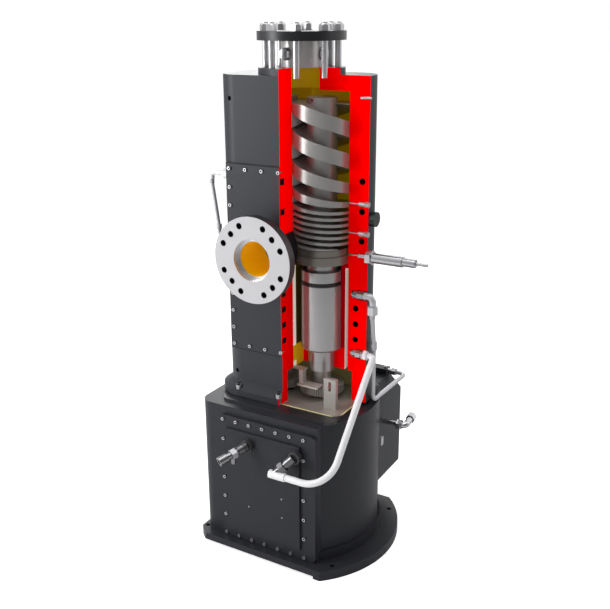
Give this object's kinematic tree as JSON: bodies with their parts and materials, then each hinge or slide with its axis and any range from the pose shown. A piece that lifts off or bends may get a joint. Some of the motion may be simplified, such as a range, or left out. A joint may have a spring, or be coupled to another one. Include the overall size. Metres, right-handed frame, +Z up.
{
  "type": "twin-screw dry vacuum pump",
  "caption": "Upright dry vacuum pump, cut open at one quarter to show a variable-pitch screw, its bearing unit and the timing gears, on a motor base with coolant pipes.",
  "frame": {"origin": "on the axis of the inlet, at the floor under the base plate", "axes": "+Z up along the inlet axis, -Y towards the front with the control cover and the discharge flange, +X to the right along the front"},
  "size_m": [0.6155, 0.5321, 1.398],
  "materials": {
    "black_paint": "satin",
    "casing_paint": "satin",
    "flange_black": "satin",
    "carrier_red": "satin",
    "flange_grey": "satin",
    "steel": "brushed",
    "bright_steel": "polished",
    "dark_steel": "brushed",
    "chrome": "polished",
    "zinc": "satin",
    "gasket": "matte",
    "rubber": "matte",
    "white_pipe": "gloss",
    "black_knob": "gloss",
    "copper": "lacquered"
  },
  "bodies": {
    "pump": {"base_plate": "black_paint", "base_housing": "black_paint", "control_cover": "black_paint", "control_cover_screws": "zinc", "drive_box": "black_paint", "drive_box_lid": "black_paint", "drive_box_screws": "zinc", "gear_case": "steel", "gear_case_gasket": "gasket", "motor_stator": "copper", "gear_housing": "casing_paint", "pump_casing": "casing_paint", "jacket_cover": "casing_paint", "jacket_cover_screws": "zinc", "foot_bolts": "zinc", "end_plate": "steel", "bearing_carrier": "carrier_red", "drive_cartridge": "bright_steel", "driven_cartridge": "bright_steel", "drive_seal_housing": "steel", "driven_seal_housing": "steel", "cartridge_o_rings": "rubber", "bearing_outer_rings": "bright_steel", "sensor_bracket": "bright_steel", "oil_guard": "dark_steel", "inlet_spool": "chrome", "inlet_flange": "flange_black", "inlet_studs": "zinc", "inlet_nuts": "zinc", "spool_plugs": "dark_steel", "discharge_neck": "flange_black", "discharge_flange": "flange_grey", "purge_nozzles": "chrome", "temperature_probe": "chrome", "side_plugs": "black_knob", "upper_elbow": "chrome", "rear_tube": "white_pipe", "lower_elbow": "chrome", "front_coolant_pipe": "white_pipe", "left_hose_fitting": "chrome", "right_hose_fitting": "chrome", "left_elbow": "chrome", "left_tube": "white_pipe", "box_fitting": "chrome", "rear_fitting": "chrome"},
    "drive_rotor": {"drive_screw": "steel", "drive_shaft": "dark_steel", "drive_gear": "dark_steel", "drive_lock_nut": "dark_steel", "drive_inner_rings": "bright_steel", "motor_rotor": "dark_steel"},
    "driven_rotor": {"driven_screw": "steel", "driven_shaft": "dark_steel", "driven_gear": "dark_steel", "driven_lock_nut": "dark_steel", "driven_inner_rings": "bright_steel"}
  },
  "joints": [
    {"name": "drive_spin", "type": "hinge", "parent": "pump", "child": "drive_rotor", "pos_m": [0.058, 0, 0.6], "axis": [0, 0, 1], "continuous": true},
    {"name": "driven_spin", "type": "hinge", "parent": "pump", "child": "driven_rotor", "pos_m": [-0.058, 0, 0.6], "axis": [0, 0, 1], "continuous": true}
  ],
  "couplings": [
    {"joint": "driven_spin", "follows": "drive_spin", "ratio": -1}
  ]
}
